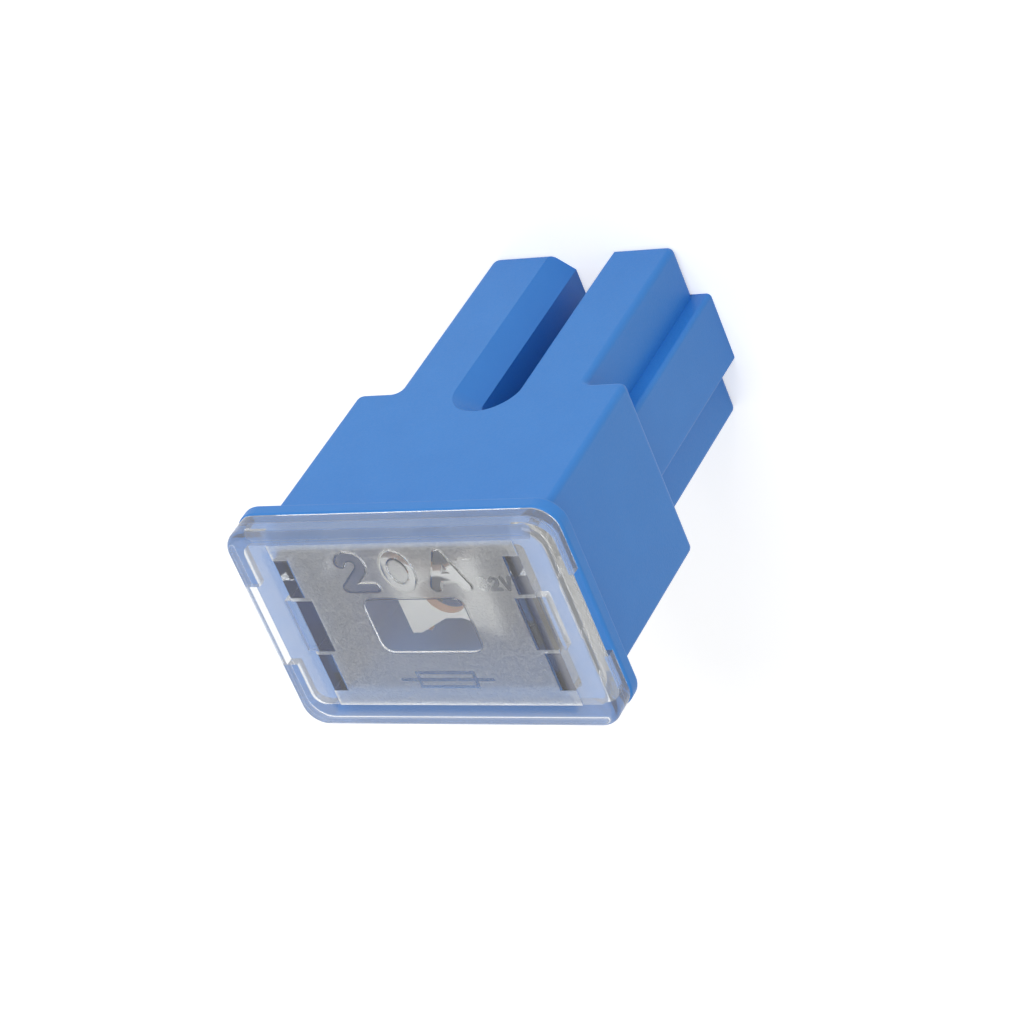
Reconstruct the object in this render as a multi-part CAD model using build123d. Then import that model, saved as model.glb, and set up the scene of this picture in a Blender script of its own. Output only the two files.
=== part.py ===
from build123d import *
import os
from math import atan2, cos, degrees, radians, sin

# A plug-in cartridge fuse: a moulded housing with two socket towers, a stamped
# and rolled metal element inside it, and a clear cover that snaps on top.
# Millimetres. Z is up from the tower ends to the cover, X runs along the
# fuse's long side, and the origin is the centre of the base.

# Housing, outside
TOWER_LENGTH = 14.6
TOWER_HALF_SPAN = 6.7
BLOCK_WIDTH = 19.4
BODY_DEPTH = 12.75
FLANGE_HEIGHT = 27.4
FLANGE_THICKNESS = 1.0
FLANGE_WIDTH = 22.8
FLANGE_DEPTH = 15.1
FLANGE_CORNER = 1.7
BODY_EDGE = 0.4
SHOULDER_FILLET = 0.55
FINE_EDGE = 0.2
KEY_RIB_REACH = 1.2
KEY_RIB_WIDTH = 5.2
KEY_RIB_EDGE = 0.3

# Slot between the towers: wide at the broad faces, narrow inside
SLOT_MOUTH_WIDTH = 4.9
SLOT_WIDTH = 2.0
SLOT_MOUTH_DEPTH = 1.3

# Housing, inside
WALL = 1.0
CHAMBER_FLOOR = 18.6
CHAMBER_CORNER = 0.4
CAVITY_CORNER = 0.4
END_WALL = 1.2

# Metal element
SHEET = 0.6
BRIDGE_TOP = 26.3
BRIDGE_LOBE_WIDTH = 5.9
BRIDGE_WAIST_WIDTH = 3.7
BRIDGE_WAIST_LENGTH = 1.2
BRIDGE_LOBE_LENGTH = 0.65
BRIDGE_CURVE = 0.5
BRIDGE_CORNER = 0.4
BRIDGE_HOLE = 2.9
BEND_OUTSIDE = 0.8
RISER_PITCH = 6.82

# Rolled receptacle at each end of the element, for a flat tab
TAB_WIDTH = 6.3
TAB_THICKNESS = 0.8
TAB_SIDE_PLAY = 0.2
ROLL_RADIUS = 0.85
ROLL_TURN = 55.0
RECEPTACLE_LENGTH = 9.2
SHOULDER_RISE = 1.4
DIMPLE_RADIUS = 0.8
DIMPLE_TIP_RADIUS = 0.4
DIMPLE_HEIGHT = 0.25
DIMPLE_LEVEL = 5.0
TAB_ENTRY_PLAY = 0.35
TAB_ENTRY_LEAD = 0.5

# Lance that locks the element under a rib in its cavity
LANCE_ROOT = 12.6
LANCE_TIP = 15.9
LANCE_WIDTH = 1.6
LANCE_CUT = 0.2
LANCE_REACH = 1.1
LOCK_OVERLAP = 0.6
LOCK_WIDTH = 2.4
LOCK_LEAD = 0.8

# Clear cover
COVER_END_STEP = 0.15
COVER_SIDE_STEP = 0.05
COVER_HEIGHT = 1.9
PLATE_THICKNESS = 1.3
COVER_WALL = 0.75
COVER_SIDE_RIM = 1.3
COVER_EDGE = 0.5
NOTCH_WIDTH = 6.1
FROST_RECESS = 0.15
WINDOW_RECESS = 0.15
WINDOW_LENGTH = 7.05
WINDOW_WIDTH = 4.05
WINDOW_CORNER = 0.75
LEG_THICKNESS = 0.95
LEG_SPAN = 10.1
LEG_LENGTH = 3.45
LEG_FLARE = 0.15
LATCH_SPAN = 3.9
LATCH_LENGTH = 4.85
LATCH_INSET = 0.4
LATCH_ROOT_REACH = 0.6
LATCH_SLIT = 0.25
BARB_REACH = 0.5
BARB_HEIGHT = 1.2

# Clearances
FIT = 0.1
ROOM = 0.15

# Places that follow from the sizes
FLANGE_TOP = FLANGE_HEIGHT + FLANGE_THICKNESS
COVER_TOP = FLANGE_TOP + COVER_HEIGHT
PLATE_UNDERSIDE = COVER_TOP - PLATE_THICKNESS
FROST_FACE = PLATE_UNDERSIDE + FROST_RECESS
WINDOW_FACE = FROST_FACE + WINDOW_RECESS
LATCH_TIP = FROST_FACE - LATCH_LENGTH
COVER_WIDTH = FLANGE_WIDTH - 2 * COVER_END_STEP
COVER_DEPTH = FLANGE_DEPTH - 2 * COVER_SIDE_STEP
COVER_CORNER = FLANGE_CORNER - COVER_END_STEP
CHAMBER_HALF_WIDTH = BLOCK_WIDTH / 2 - WALL
CHAMBER_HALF_DEPTH = BODY_DEPTH / 2 - WALL
SLOT_TAPER = degrees(atan2((SLOT_MOUTH_WIDTH - SLOT_WIDTH) / 2, SLOT_MOUTH_DEPTH))
BASE_X = RISER_PITCH / 2 - SHEET / 2
ROLL_CENTRE_Y = TAB_WIDTH / 2 + TAB_SIDE_PLAY
TAB_X = BASE_X + SHEET / 2 + TAB_THICKNESS / 2
LEG_OUTSIDE = CHAMBER_HALF_WIDTH - FIT
CAVITY_INSIDE = BASE_X - SHEET / 2 - FIT
CAVITY_OUTSIDE = TOWER_HALF_SPAN - WALL
CAVITY_HALF_DEPTH = ROLL_CENTRE_Y + ROLL_RADIUS + SHEET / 2 + FIT


def upright_box(x_size, y_size, low, high, corner=0.0):
    """Box centred on the Z axis, from one height to another, with rounded upright edges."""
    outline = RectangleRounded(x_size, y_size, corner) if corner else Rectangle(x_size, y_size)
    return extrude(Plane.XY.offset(low) * outline, amount=high - low)


def both_ends(solid):
    """The solid and its mirror image at the other end of the long side."""
    return solid + mirror(solid, about=Plane.YZ)


def body_profile():
    """Front view of the block and the tower pair, with its corners rounded."""
    with BuildSketch(Plane.XZ) as profile:
        with BuildLine():
            Polyline(
                (-TOWER_HALF_SPAN, 0), (TOWER_HALF_SPAN, 0),
                (TOWER_HALF_SPAN, TOWER_LENGTH), (BLOCK_WIDTH / 2, TOWER_LENGTH),
                (BLOCK_WIDTH / 2, FLANGE_TOP), (-BLOCK_WIDTH / 2, FLANGE_TOP),
                (-BLOCK_WIDTH / 2, TOWER_LENGTH), (-TOWER_HALF_SPAN, TOWER_LENGTH),
                close=True)
        make_face()
        top_row = profile.vertices().group_by(Axis.Y)[-1]
        fillet([corner for corner in profile.vertices() if corner not in top_row], SHOULDER_FILLET)
    return profile.sketch


def slot_outline(width):
    """U shape seen from the front, open below the tower ends."""
    below = SLOT_MOUTH_WIDTH
    stem = Pos(0, (TOWER_LENGTH - below) / 2) * Rectangle(width, TOWER_LENGTH + below)
    return stem + Pos(0, TOWER_LENGTH) * Circle(width / 2)


def slot_cutter():
    """Slot that narrows from each broad face and then runs straight through."""
    front = Plane(origin=(0, BODY_DEPTH / 2, 0), x_dir=(1, 0, 0), z_dir=(0, -1, 0))
    through = extrude(front * slot_outline(SLOT_WIDTH), amount=BODY_DEPTH)
    mouth = extrude(front * slot_outline(SLOT_MOUTH_WIDTH), amount=SLOT_MOUTH_DEPTH, taper=SLOT_TAPER)
    return through + mouth + mirror(mouth, about=Plane.XZ)


def tab_entry(side):
    """Slot in a tower's end wall for the mating tab, with a lead-in outside."""
    wide = TAB_WIDTH + 2 * TAB_ENTRY_PLAY
    thick = TAB_THICKNESS + 2 * TAB_ENTRY_PLAY
    straight = Pos(side * TAB_X, 0, END_WALL / 2) * Box(thick, wide, 2 * END_WALL)
    mouth = Plane.XY * Rectangle(thick + 2 * TAB_ENTRY_LEAD, wide + 2 * TAB_ENTRY_LEAD)
    lead = Pos(side * TAB_X, 0, 0) * extrude(mouth, amount=TAB_ENTRY_LEAD, taper=45)
    return straight + lead


def terminal_cavity(side):
    """Pocket down a tower that holds one rolled receptacle."""
    middle = side * (CAVITY_INSIDE + CAVITY_OUTSIDE) / 2
    width = CAVITY_OUTSIDE - CAVITY_INSIDE
    pocket = upright_box(width, 2 * CAVITY_HALF_DEPTH, END_WALL, CHAMBER_FLOOR + 1, CAVITY_CORNER)
    return Pos(middle, 0, 0) * pocket


def lock_rib():
    """Rib on a cavity's outer wall, with a lead-in on top, that the element's lance catches under."""
    face = BASE_X + SHEET / 2 + LANCE_REACH - LOCK_OVERLAP
    root = CAVITY_OUTSIDE + WALL / 2
    low, high = LANCE_TIP + FIT, CHAMBER_FLOOR
    outline = Polyline((face, low), (face, high - LOCK_LEAD), (face + LOCK_LEAD, high), (root, high),
                       (root, low), close=True)
    return extrude(Plane.XZ * make_face(outline), amount=LOCK_WIDTH / 2, both=True)


def barb_pocket():
    """Recess in an end wall that the cover's latch snaps into."""
    low = LATCH_TIP - ROOM
    high = LATCH_TIP + BARB_HEIGHT + ROOM
    reach = BARB_REACH + FIT
    return Pos(CHAMBER_HALF_WIDTH + reach / 2, 0, (low + high) / 2) * Box(
        reach, LATCH_SPAN + 2 * ROOM, high - low)


def housing():
    body = extrude(body_profile(), amount=BODY_DEPTH / 2, both=True)
    broad_faces = body.faces().filter_by(Axis.Y)
    body = fillet(broad_faces.edges(), BODY_EDGE)
    ribs = upright_box(2 * (TOWER_HALF_SPAN + KEY_RIB_REACH), KEY_RIB_WIDTH, 0,
                       TOWER_LENGTH + SHOULDER_FILLET, KEY_RIB_EDGE)
    flange = upright_box(FLANGE_WIDTH, FLANGE_DEPTH, FLANGE_HEIGHT, FLANGE_TOP, FLANGE_CORNER)
    rims = flange.faces().filter_by(Axis.Z).edges()
    flange = fillet(rims, FINE_EDGE)
    body = body + ribs + flange
    body -= slot_cutter()
    body -= upright_box(2 * CHAMBER_HALF_WIDTH, 2 * CHAMBER_HALF_DEPTH, CHAMBER_FLOOR,
                        FLANGE_TOP + 1, CHAMBER_CORNER)
    for side in (-1, 1):
        body -= terminal_cavity(side)
        body -= tab_entry(side)
    body += both_ends(lock_rib())
    body -= both_ends(barb_pocket())
    return body


def bridge():
    """Flat link with lobes at its ends, a narrow waist and a hole in its middle."""
    lobe, waist = BRIDGE_LOBE_WIDTH / 2, BRIDGE_WAIST_WIDTH / 2
    end = RISER_PITCH / 2
    near = BRIDGE_WAIST_LENGTH / 2
    far = end - BRIDGE_LOBE_LENGTH
    outline = Polyline(
        (-end, -lobe), (-far, -lobe), (-near, -waist), (near, -waist), (far, -lobe), (end, -lobe),
        (end, lobe), (far, lobe), (near, waist), (-near, waist), (-far, lobe), (-end, lobe),
        close=True)
    blank = make_face(outline)
    blank = fillet([v for v in blank.vertices() if abs(v.X) < end - SHEET / 2], BRIDGE_CURVE)
    blank -= Circle(BRIDGE_HOLE / 2)
    return extrude(Plane.XY.offset(BRIDGE_TOP - SHEET) * blank, amount=SHEET)


def riser_strip():
    """Side view of the sheet from the bridge, round the bend and down to the receptacle."""
    high, low = BRIDGE_TOP, END_WALL
    outside = RISER_PITCH / 2
    run = BRIDGE_LOBE_LENGTH + SHEET
    with BuildSketch(Plane.XZ) as strip:
        with BuildLine():
            Polyline(
                (outside - run, high - SHEET), (outside - run, high), (outside, high),
                (outside, low), (outside - SHEET, low), (outside - SHEET, high - SHEET),
                close=True)
        make_face()
        top_row = strip.vertices().group_by(Axis.Y)[-1]
        fillet(top_row.sort_by(Axis.X)[-1], BEND_OUTSIDE)
    return strip.sketch


def riser_width():
    """Flat shape of the riser: as wide as the link above, wider at the receptacle."""
    top = BRIDGE_LOBE_WIDTH / 2
    foot = ROLL_CENTRE_Y
    neck = END_WALL + RECEPTACLE_LENGTH
    with BuildSketch(Plane.YZ) as shape:
        with BuildLine():
            Polyline(
                (-foot, END_WALL), (foot, END_WALL), (foot, neck), (top, neck + SHOULDER_RISE),
                (top, BRIDGE_TOP), (-top, BRIDGE_TOP), (-top, neck + SHOULDER_RISE), (-foot, neck),
                close=True)
        make_face()
        fillet(shape.vertices().group_by(Axis.Y)[-1], BRIDGE_CORNER)
    return shape.sketch


def roll_section():
    """Cross-section of one rolled edge, from the base round towards the tab."""
    outer, inner = ROLL_RADIUS + SHEET / 2, ROLL_RADIUS - SHEET / 2
    centre = (BASE_X + ROLL_RADIUS, ROLL_CENTRE_Y)
    start, sweep = 180.0, -(180.0 + ROLL_TURN)
    stop = radians(start + sweep)
    with BuildSketch() as section:
        with BuildLine():
            CenterArc(centre, outer, start, sweep)
            CenterArc(centre, inner, start, sweep)
            for angle in (radians(start), stop):
                Line((centre[0] + inner * cos(angle), centre[1] + inner * sin(angle)),
                     (centre[0] + outer * cos(angle), centre[1] + outer * sin(angle)))
        make_face()
    return section.sketch


def dimple():
    """Bump pressed out of the base, which clicks into the hole of the mating tab."""
    cone = Cone(DIMPLE_RADIUS, DIMPLE_TIP_RADIUS, DIMPLE_HEIGHT,
                align=(Align.CENTER, Align.CENTER, Align.MIN))
    return Pos(BASE_X + SHEET / 2, 0, END_WALL + DIMPLE_LEVEL) * Rot(0, 90, 0) * cone


def lance():
    """Tongue bent out of the riser, with its free end up."""
    back, front = BASE_X - SHEET / 2, BASE_X + SHEET / 2
    outline = Polyline(
        (back, LANCE_ROOT), (front, LANCE_ROOT), (front + LANCE_REACH, LANCE_TIP),
        (back + LANCE_REACH, LANCE_TIP), close=True)
    return extrude(Plane.XZ * make_face(outline), amount=LANCE_WIDTH / 2, both=True)


def lance_window():
    """Opening left in the riser where the lance was cut free."""
    high = LANCE_TIP + LANCE_CUT
    return Pos(BASE_X, 0, (LANCE_ROOT + high) / 2) * Box(
        2 * SHEET, LANCE_WIDTH + 2 * LANCE_CUT, high - LANCE_ROOT)


def fuse_element():
    strip = extrude(riser_strip(), amount=ROLL_CENTRE_Y, both=True)
    width = extrude(riser_width(), amount=RISER_PITCH)
    riser = strip & width
    roll = extrude(Plane.XY.offset(END_WALL) * roll_section(), amount=RECEPTACLE_LENGTH)
    riser = riser + roll + mirror(roll, about=Plane.XZ)
    riser = riser + dimple() - Pos(-SHEET, 0, 0) * dimple()
    riser = riser - lance_window() + lance()
    return bridge() + both_ends(riser)


def guide_leg():
    """One guide leg beside the latch, flared where it leaves the plate."""
    near = LATCH_SPAN / 2 + LATCH_SLIT
    far = LEG_SPAN / 2
    inside, low = LEG_OUTSIDE - LEG_THICKNESS, FROST_FACE - LEG_LENGTH
    outline = Polyline(
        (inside - LEG_FLARE, FROST_FACE), (inside, FROST_FACE - LEG_FLARE), (inside, low),
        (LEG_OUTSIDE, low), (LEG_OUTSIDE, FROST_FACE), close=True)
    return extrude(Plane.XZ.offset(-far) * make_face(outline), amount=far - near)


def latch():
    """Springy middle leg with the barb that snaps under the housing's end wall."""
    inside = LEG_OUTSIDE - LEG_THICKNESS - LATCH_INSET
    barb = LEG_OUTSIDE + BARB_REACH
    step = FLANGE_TOP + FIT / 2
    shoulder = LEG_OUTSIDE + LATCH_ROOT_REACH
    outline = Polyline(
        (inside - LEG_FLARE, FROST_FACE), (inside, FROST_FACE - LEG_FLARE),
        (inside, LATCH_TIP + BARB_HEIGHT), (LEG_OUTSIDE - BARB_REACH, LATCH_TIP),
        (LEG_OUTSIDE, LATCH_TIP), (barb, LATCH_TIP + BARB_HEIGHT * 0.75),
        (barb, LATCH_TIP + BARB_HEIGHT), (LEG_OUTSIDE, LATCH_TIP + BARB_HEIGHT),
        (LEG_OUTSIDE, step), (shoulder, step), (shoulder, FROST_FACE), close=True)
    return extrude(Plane.XZ * make_face(outline), amount=LATCH_SPAN / 2, both=True)


def clear_cover():
    inside_depth = COVER_DEPTH - 2 * COVER_SIDE_RIM
    cap = upright_box(COVER_WIDTH, COVER_DEPTH, FLANGE_TOP, COVER_TOP, COVER_CORNER)
    cap = fillet(cap.faces().sort_by(Axis.Z)[-1].edges(), COVER_EDGE)
    cap -= upright_box(COVER_WIDTH - 2 * COVER_WALL, inside_depth, FLANGE_TOP, PLATE_UNDERSIDE,
                       COVER_CORNER - COVER_WALL)
    cap -= upright_box(2 * LEG_OUTSIDE, inside_depth, FLANGE_TOP, FROST_FACE)
    cap -= upright_box(WINDOW_LENGTH, WINDOW_WIDTH, FLANGE_TOP, WINDOW_FACE, WINDOW_CORNER)
    notch = Pos(COVER_WIDTH / 2, 0, (FLANGE_TOP + PLATE_UNDERSIDE) / 2) * Box(
        2 * COVER_WALL, NOTCH_WIDTH, PLATE_UNDERSIDE - FLANGE_TOP)
    guide = guide_leg()
    return cap - both_ends(notch) + both_ends(guide + mirror(guide, about=Plane.XZ) + latch())


def main():
    os.makedirs("parts", exist_ok=True)
    pieces = {"housing": housing(), "fuse_element": fuse_element(), "clear_cover": clear_cover()}
    for name, piece in pieces.items():
        export_step(piece, f"parts/{name}.step")


main()
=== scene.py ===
import math

import bpy
from mathutils import Matrix, Vector


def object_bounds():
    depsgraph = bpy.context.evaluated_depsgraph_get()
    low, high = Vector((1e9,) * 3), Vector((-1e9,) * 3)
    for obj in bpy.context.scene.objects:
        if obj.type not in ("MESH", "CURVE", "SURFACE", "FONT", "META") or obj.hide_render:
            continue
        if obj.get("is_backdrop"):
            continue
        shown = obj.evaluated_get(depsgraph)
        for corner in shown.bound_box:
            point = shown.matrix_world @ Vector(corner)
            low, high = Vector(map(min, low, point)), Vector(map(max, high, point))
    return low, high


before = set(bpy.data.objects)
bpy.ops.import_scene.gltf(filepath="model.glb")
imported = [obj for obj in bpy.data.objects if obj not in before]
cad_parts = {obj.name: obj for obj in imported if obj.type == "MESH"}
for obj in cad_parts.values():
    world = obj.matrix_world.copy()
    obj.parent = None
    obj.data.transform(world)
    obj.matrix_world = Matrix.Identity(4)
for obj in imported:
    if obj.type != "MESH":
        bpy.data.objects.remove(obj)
measured_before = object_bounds()

MM = 0.001
PAD_FACE = 29.15
WINDOW_HALF = (3.525, 2.025)
WINDOW_CORNER = 0.75
CHAMBER_HALF = (8.6, 6.2)
CHAMBER_CORNER = 0.4
PAD_TOLERANCE = 0.03
COVER_BUMP = 0.06
STROKE_BLEND = 0.03
DIGIT_STROKE = 0.37
NOUGHT_STROKE = 0.30
SMALL_STROKE = 0.12
SYMBOL_STROKE = 0.11
LINK_LOW_SIDE = 25.66
NECK_REACH = 3.2
RISER_LOW_END = 11.0
FLOOR_SIZE = 3.0
FLOOR_GLOW = 0.50
BACKGROUND_SEEN = 1.0
BACKGROUND_LIGHT = 0.45
CAMERA_LENS = 128.52
CAMERA_PLACE = (0.11869, 0.11448, 0.16997)
CAMERA_RIGHT = (0.8494, -0.3410, -0.4029)
CAMERA_UP = (0.0242, 0.7877, -0.6156)


# Node helpers. Lengths in materials are in millimetres of the part's own frame.

class Graph:
    """Short names for building one material's node tree."""

    def __init__(self, name):
        self.material = bpy.data.materials.new(name)
        self.material.use_nodes = True
        self.tree = self.material.node_tree
        self.tree.nodes.clear()
        self.output = self.add("ShaderNodeOutputMaterial")

    def add(self, kind, **settings):
        node = self.tree.nodes.new(kind)
        for key, value in settings.items():
            setattr(node, key, value)
        return node

    def feed(self, socket, value):
        if isinstance(value, bpy.types.NodeSocket):
            self.tree.links.new(value, socket)
        else:
            socket.default_value = value

    def math(self, operation, a, b=0.0, c=0.0, clamp=False):
        node = self.add("ShaderNodeMath", operation=operation, use_clamp=clamp)
        for socket, value in zip(node.inputs, (a, b, c)):
            self.feed(socket, value)
        return node.outputs[0]

    def vector(self, operation, a, b=(0, 0, 0), scale=1.0):
        node = self.add("ShaderNodeVectorMath", operation=operation)
        self.feed(node.inputs[0], a)
        if operation == "SCALE":
            self.feed(node.inputs["Scale"], scale)
        else:
            self.feed(node.inputs[1], b)
        single = operation in ("LENGTH", "DISTANCE", "DOT_PRODUCT")
        return node.outputs["Value"] if single else node.outputs["Vector"]

    def millimetres(self):
        place = self.add("ShaderNodeTexCoord").outputs["Object"]
        return self.vector("SCALE", place, scale=1000.0)

    def split(self, vector):
        node = self.add("ShaderNodeSeparateXYZ")
        self.feed(node.inputs[0], vector)
        return node.outputs

    def join(self, x, y, z):
        node = self.add("ShaderNodeCombineXYZ")
        for socket, value in zip(node.inputs, (x, y, z)):
            self.feed(socket, value)
        return node.outputs[0]

    def noise(self, place, scale, detail=2.0, rough=0.5):
        node = self.add("ShaderNodeTexNoise")
        self.feed(node.inputs["Vector"], place)
        node.inputs["Scale"].default_value = scale
        node.inputs["Detail"].default_value = detail
        node.inputs["Roughness"].default_value = rough
        return node.outputs["Fac"]

    def span(self, value, low, high, out_low=0.0, out_high=1.0):
        node = self.add("ShaderNodeMapRange", clamp=True)
        for socket, number in zip(node.inputs, (value, low, high, out_low, out_high)):
            self.feed(socket, number)
        return node.outputs[0]

    def mix_color(self, factor, a, b):
        node = self.add("ShaderNodeMix", data_type="RGBA")
        self.feed(node.inputs[0], factor)
        self.feed(node.inputs[6], a)
        self.feed(node.inputs[7], b)
        return node.outputs[2]

    def bump(self, height, distance_mm, strength=1.0):
        node = self.add("ShaderNodeBump")
        node.inputs["Strength"].default_value = strength
        node.inputs["Distance"].default_value = distance_mm * MM
        self.feed(node.inputs["Height"], height)
        return node.outputs[0]

    def principled(self, **values):
        shader = self.add("ShaderNodeBsdfPrincipled")
        for key, value in values.items():
            self.feed(shader.inputs[key.replace("_", " ")], value)
        self.tree.links.new(shader.outputs[0], self.output.inputs["Surface"])
        return shader


def rounded_box(graph, x, y, half, corner):
    """Signed distance to a rounded rectangle centred on the axis."""
    over_x = graph.math("SUBTRACT", graph.math("ABSOLUTE", x), half[0] - corner)
    over_y = graph.math("SUBTRACT", graph.math("ABSOLUTE", y), half[1] - corner)
    outside = graph.vector("LENGTH", graph.join(
        graph.math("MAXIMUM", over_x, 0.0), graph.math("MAXIMUM", over_y, 0.0), 0.0))
    inside = graph.math("MINIMUM", graph.math("MAXIMUM", over_x, over_y), 0.0)
    return graph.math("SUBTRACT", graph.math("ADD", outside, inside), corner)


def stroke(graph, flat, start, end):
    """Distance to a straight stroke."""
    along = (end[0] - start[0], end[1] - start[1], 0.0)
    size = along[0] ** 2 + along[1] ** 2
    offset = graph.vector("SUBTRACT", flat, (start[0], start[1], 0.0))
    share = graph.math("MULTIPLY", graph.vector("DOT_PRODUCT", offset, along), 1.0 / size, clamp=True)
    nearest = graph.add("ShaderNodeVectorMath", operation="SCALE")
    nearest.inputs[0].default_value = along
    graph.feed(nearest.inputs["Scale"], share)
    return graph.vector("DISTANCE", offset, nearest.outputs["Vector"])


def lettering(graph, flat, glyphs, half_stroke):
    """Signed distance to a row of glyphs, each a list of points joined by strokes."""
    nearest = None
    for points in glyphs:
        for start, end in zip(points, points[1:]):
            distance = stroke(graph, flat, start, end)
            nearest = distance if nearest is None else graph.math("MINIMUM", nearest, distance)
    return graph.math("SUBTRACT", nearest, half_stroke)


def folded(graph, x, y, middle):
    """The flat place mirrored about an upright line, for glyphs with two like halves."""
    return graph.join(graph.math("ABSOLUTE", graph.math("SUBTRACT", x, middle)), y, 0.0)


def elliptic_ring(graph, flat, centre, radii, half_stroke):
    """Signed distance to an oval ring, near enough for a stroke of even width."""
    offset = graph.vector("SUBTRACT", flat, (centre[0], centre[1], 0.0))
    scaled = graph.vector("MULTIPLY", offset, (1.0 / radii[0], 1.0 / radii[1], 0.0))
    off_line = graph.math("ABSOLUTE", graph.math("SUBTRACT", graph.vector("LENGTH", scaled), 1.0))
    middle_radius = (radii[0] + radii[1]) / 2
    return graph.math("SUBTRACT", graph.math("MULTIPLY", off_line, middle_radius), half_stroke)


def arc(centre, radius_x, radius_y, start, end, steps):
    """Points along part of an ellipse, angles in degrees."""
    angles = [math.radians(start + (end - start) * i / steps) for i in range(steps + 1)]
    return [(centre[0] + radius_x * math.cos(a), centre[1] + radius_y * math.sin(a)) for a in angles]


def blue_plastic():
    graph = Graph("housing_blue")
    place = graph.millimetres()
    cloud = graph.noise(place, 0.35, 3.0)
    grain = graph.noise(place, 9.0, 3.0, 0.6)
    colour = graph.mix_color(cloud, (0.026, 0.215, 0.64, 1), (0.034, 0.242, 0.69, 1))
    roughness = graph.span(grain, 0.3, 0.7, 0.40, 0.52)
    graph.principled(
        Base_Color=colour, Roughness=roughness, IOR=1.5,
        Normal=graph.bump(grain, 0.012))
    return graph.material


def tinned_sheet():
    graph = Graph("tinned_copper_sheet")
    place = graph.millimetres()
    x, y, z = graph.split(place)
    normal = graph.split(graph.add("ShaderNodeNewGeometry").outputs["Normal"])
    streaks = graph.noise(graph.vector("MULTIPLY", place, (1.0, 9.0, 1.0)), 2.4, 4.0, 0.6)
    stain = graph.noise(place, 0.9, 3.0)
    upright = graph.math("LESS_THAN", graph.math("ABSOLUTE", normal[2]), 0.5)
    link_edge = graph.math("MULTIPLY", upright, graph.math("GREATER_THAN", z, LINK_LOW_SIDE))
    link_edge = graph.math("MULTIPLY", link_edge, graph.math(
        "LESS_THAN", graph.math("ABSOLUTE", x), NECK_REACH))
    riser_edge = graph.math("MULTIPLY", graph.math("GREATER_THAN", z, RISER_LOW_END), graph.math(
        "GREATER_THAN", graph.math("ABSOLUTE", normal[1]), 0.7))
    bare = graph.math("MAXIMUM", link_edge, riser_edge)
    tin = graph.mix_color(stain, (0.42, 0.42, 0.41, 1), (0.52, 0.52, 0.51, 1))
    copper = graph.mix_color(streaks, (1.0, 0.56, 0.36, 1), (1.0, 0.68, 0.48, 1))
    graph.principled(
        Base_Color=graph.mix_color(bare, tin, copper), Metallic=graph.span(bare, 0, 1, 1.0, 0.10),
        Roughness=graph.span(streaks, 0.25, 0.75, 0.42, 0.58),
        Normal=graph.bump(streaks, 0.01))
    return graph.material


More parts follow.
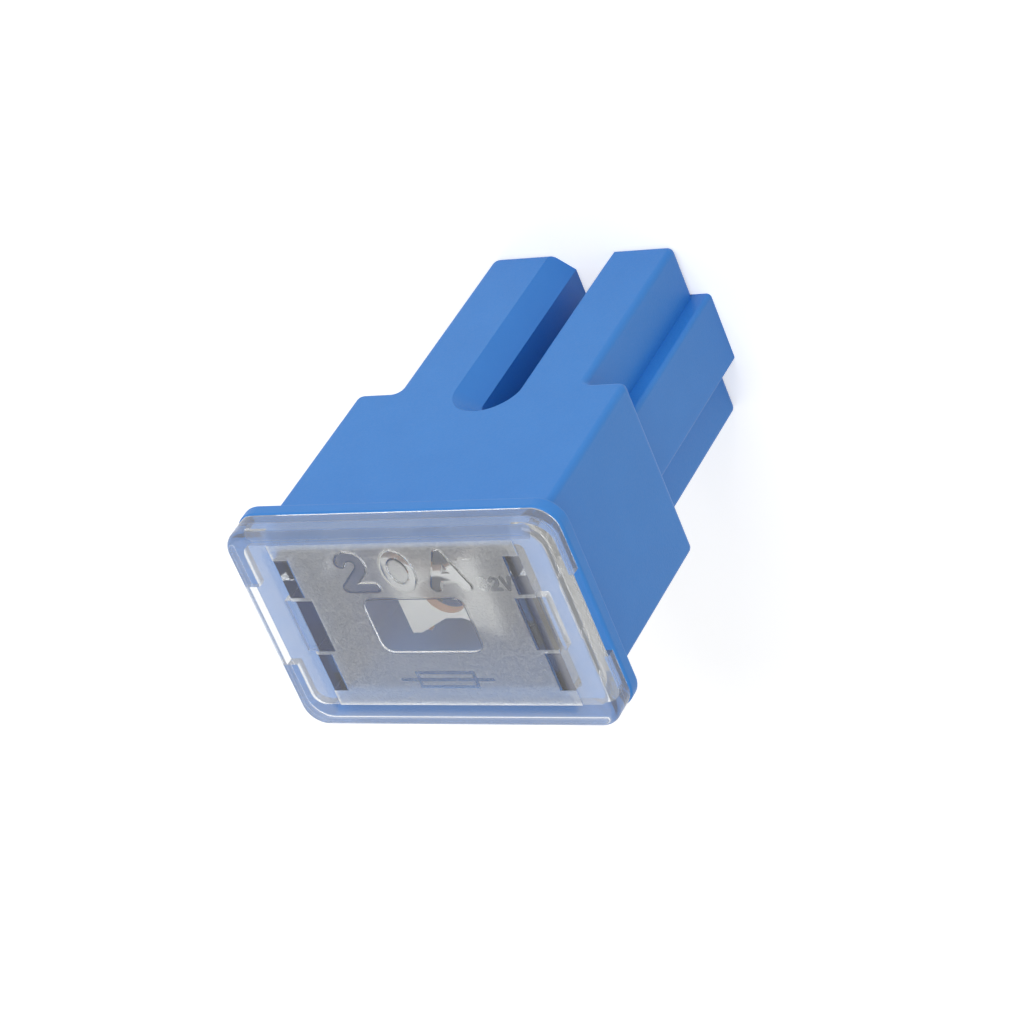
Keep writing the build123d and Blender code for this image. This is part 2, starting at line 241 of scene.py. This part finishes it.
def clear_plastic():
    graph = Graph("cover_clear")
    place = graph.millimetres()
    x, y, z = graph.split(place)
    flat = graph.join(x, y, 0.0)
    digit_two = arc((-3.20, 4.62), 0.72, 0.66, 165, -38, 6) + [(-4.02, 2.92), (-2.12, 2.92)]
    rating = lettering(graph, flat, [digit_two], DIGIT_STROKE)
    nought = elliptic_ring(graph, flat, (-0.05, 4.10), (0.90, 1.22), NOUGHT_STROKE)
    letter = lettering(graph, folded(graph, x, y, 3.20), [
        [(0.0, 5.28), (1.05, 2.90)], [(0.0, 3.60), (0.70, 3.60)]], DIGIT_STROKE)
    rating = graph.math("MINIMUM", rating, graph.math("MINIMUM", nought, letter))
    small_three = arc((5.42, 3.28), 0.26, 0.20, 150, -80, 3) + arc((5.42, 2.86), 0.30, 0.24, 80, -150, 3)
    small_two = arc((6.22, 3.22), 0.26, 0.26, 165, -35, 3) + [(5.96, 2.62), (6.52, 2.62)]
    volts = lettering(graph, flat, [small_three, small_two], SMALL_STROKE)
    small_letter = lettering(graph, folded(graph, x, y, 7.08), [[(0.0, 2.62), (0.28, 3.48)]], SMALL_STROKE)
    symbol = lettering(graph, folded(graph, x, y, 0.0), [
        [(0.0, -4.75), (2.0, -4.75), (2.0, -3.65), (0.0, -3.65)], [(0.0, -4.2), (3.2, -4.2)]], SYMBOL_STROKE)
    small = graph.math("MINIMUM", volts, graph.math("MINIMUM", small_letter, symbol))
    window = rounded_box(graph, x, y, WINDOW_HALF, WINDOW_CORNER)
    off_pad = graph.math("ABSOLUTE", graph.math("SUBTRACT", z, PAD_FACE))
    pad_zone = graph.math("LESS_THAN", off_pad, PAD_TOLERANCE)
    off_digits = graph.span(rating, -STROKE_BLEND, STROKE_BLEND)
    off_large = graph.math("MULTIPLY", off_digits, graph.span(window, 0.0, 0.12))
    grained = graph.math("MULTIPLY", pad_zone, off_large)
    frosted = graph.math("MULTIPLY", grained, graph.span(small, -STROKE_BLEND, STROKE_BLEND))
    on_digits = graph.span(rating, -STROKE_BLEND, STROKE_BLEND, 1.0, 0.0)
    lettered = graph.math("MULTIPLY", pad_zone, on_digits)
    spark = graph.span(graph.noise(place, 6.2, 2.0, 0.7), 0.38, 0.62)
    waves = graph.noise(place, 0.5, 2.0)
    rise = graph.math("MULTIPLY", pad_zone, graph.span(rating, -0.10, 0.10))
    height = graph.math("ADD", graph.math("MULTIPLY", grained, graph.math("MULTIPLY", spark, 0.14)),
                        graph.math("ADD", rise, graph.math("MULTIPLY", waves, 0.04)))
    body = graph.principled(
        Base_Color=graph.mix_color(waves, (0.965, 0.98, 0.99, 1), (0.98, 0.99, 1.0, 1)),
        Roughness=graph.math("MAXIMUM", graph.math("MULTIPLY", frosted, 0.275), graph.math(
            "MULTIPLY_ADD", lettered, 0.10, 0.015)),
        IOR=1.49, Transmission_Weight=1.0,
        Normal=graph.bump(height, COVER_BUMP))
    # Outside the chamber outline the rim gets a pale diffuse veil. This is painted light standing in for the
    # brighter light the rim catches. Inside the chamber the same diffuse layer shows only as the frosted
    # grain.
    rim_zone = graph.span(rounded_box(graph, x, y, CHAMBER_HALF, CHAMBER_CORNER), -0.2, 0.2)
    frost_scatter_and_rim_light = graph.add("ShaderNodeBsdfDiffuse")
    pale = graph.math("MAXIMUM", rim_zone, graph.math("MULTIPLY", spark, frosted))
    graph.feed(frost_scatter_and_rim_light.inputs["Color"], graph.mix_color(
        pale, (0.42, 0.43, 0.43, 1), (0.88, 0.88, 0.86, 1)))
    frost_and_rim_light_mix = graph.add("ShaderNodeMixShader")
    # Share of the painted rim light mixed in on the rim.
    painted_rim_light_share = graph.math("MULTIPLY", rim_zone, graph.span(waves, 0.3, 0.7, 0.15, 0.21))
    graph.feed(frost_and_rim_light_mix.inputs[0], graph.math(
        "MAXIMUM", painted_rim_light_share, graph.math("MULTIPLY", frosted, graph.span(spark, 0.0, 1.0, 0.16, 0.36))))
    graph.feed(frost_and_rim_light_mix.inputs[1], body.outputs[0])
    graph.feed(frost_and_rim_light_mix.inputs[2], frost_scatter_and_rim_light.outputs[0])
    rays = graph.add("ShaderNodeLightPath").outputs
    # For shadow and diffuse rays the cover is a see-through sheet, nearly clear on the rim and grey (0.66)
    # over the chamber. The grey is painted shade that darkens the chamber's inside.
    clear = graph.add("ShaderNodeBsdfTransparent")
    graph.feed(clear.inputs["Color"], graph.mix_color(
        rim_zone, (0.66, 0.66, 0.66, 1), (0.96, 0.98, 1.0, 1)))
    blend = graph.add("ShaderNodeMixShader")
    graph.feed(blend.inputs[0], graph.math("MAXIMUM", rays["Is Shadow Ray"], rays["Is Diffuse Ray"]))
    graph.feed(blend.inputs[1], frost_and_rim_light_mix.outputs[0])
    graph.feed(blend.inputs[2], clear.outputs[0])
    graph.feed(graph.output.inputs["Surface"], blend.outputs[0])
    return graph.material


def pale_floor():
    graph = Graph("floor_white")
    place = graph.millimetres()
    cloud = graph.noise(place, 0.01, 2.0)
    body = graph.principled(
        Base_Color=graph.mix_color(cloud, (0.80, 0.80, 0.80, 1), (0.82, 0.82, 0.82, 1)),
        Roughness=0.9, Specular_IOR_Level=0.0)
    rays = graph.add("ShaderNodeLightPath").outputs
    seen = graph.math("MAXIMUM", rays["Is Camera Ray"], graph.math(
        "MAXIMUM", rays["Is Glossy Ray"], rays["Is Transmission Ray"]))
    glow = graph.add("ShaderNodeEmission")
    glow.inputs["Color"].default_value = (1, 1, 1, 1)
    graph.feed(glow.inputs["Strength"], graph.math("MULTIPLY", seen, FLOOR_GLOW))
    both = graph.add("ShaderNodeAddShader")
    graph.feed(both.inputs[0], body.outputs[0])
    graph.feed(both.inputs[1], glow.outputs[0])
    graph.feed(graph.output.inputs["Surface"], both.outputs[0])
    return graph.material


def set_material(node, material):
    """Puts a material on a CAD node's slots. The mesh itself stays as packed."""
    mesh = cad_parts[node].data
    mesh.materials.clear()
    mesh.materials.append(material)


def soft_light(name, place, target, size, power):
    lamp = bpy.data.lights.new(name, "AREA")
    lamp.shape = "RECTANGLE"
    lamp.size, lamp.size_y = size
    lamp.energy = power
    light = bpy.data.objects.new(name, lamp)
    light.location = place
    light.rotation_euler = (Vector(target) - Vector(place)).to_track_quat("-Z", "Y").to_euler()
    bpy.context.scene.collection.objects.link(light)
    return light


set_material("housing", blue_plastic())
set_material("fuse_element", tinned_sheet())
set_material("clear_cover", clear_plastic())

bpy.ops.mesh.primitive_plane_add(size=FLOOR_SIZE, location=(0, 0, 0))
floor = bpy.context.object
floor.name = "floor"
floor.data.materials.append(pale_floor())
floor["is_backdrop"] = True

world = bpy.data.worlds.new("studio")
bpy.context.scene.world = world
world.use_nodes = True
tree = world.node_tree
background = tree.nodes["Background"]
background.inputs["Color"].default_value = (1.0, 1.0, 1.0, 1)
rays = tree.nodes.new("ShaderNodeLightPath")
soft_rays = tree.nodes.new("ShaderNodeMath")
soft_rays.operation = "MAXIMUM"
tree.links.new(rays.outputs["Is Diffuse Ray"], soft_rays.inputs[0])
tree.links.new(rays.outputs["Is Shadow Ray"], soft_rays.inputs[1])
level = tree.nodes.new("ShaderNodeMapRange")
level.inputs["To Min"].default_value = BACKGROUND_SEEN
level.inputs["To Max"].default_value = BACKGROUND_LIGHT
tree.links.new(soft_rays.outputs[0], level.inputs["Value"])
tree.links.new(level.outputs[0], background.inputs["Strength"])

CENTRE = (0, 0, 0.015)
soft_light("key_soft", (0.02, 0.30, 0.26), CENTRE, (0.25, 0.25), 0.62)
soft_light("front_soft", (-0.30, -0.29, 0.44), CENTRE, (0.40, 0.40), 0.45)
soft_light("side_soft", (0.36, -0.02, 0.36), CENTRE, (0.30, 0.30), 0.30)

camera_data = bpy.data.cameras.new("camera")
camera_data.sensor_width = 36.0
camera_data.lens = CAMERA_LENS
camera_data.clip_start = 0.01
camera = bpy.data.objects.new("camera", camera_data)
right = Vector(CAMERA_RIGHT).normalized()
up = Vector(CAMERA_UP)
back = right.cross(up).normalized()
up = back.cross(right).normalized()
turn = Matrix((right, up, back)).transposed()
camera.matrix_world = Matrix.Translation(CAMERA_PLACE) @ turn.to_4x4()
bpy.context.scene.collection.objects.link(camera)
bpy.context.scene.camera = camera
bpy.context.scene.view_settings.view_transform = "Standard"


def plain(value):
    if isinstance(value, dict):
        return {key: plain(item) for key, item in value.items()}
    if isinstance(value, (list, tuple, Vector)):
        return [plain(item) for item in value]
    return value


measured_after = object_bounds()
{"after_load": plain(measured_before), "before_finish": plain(measured_after)}
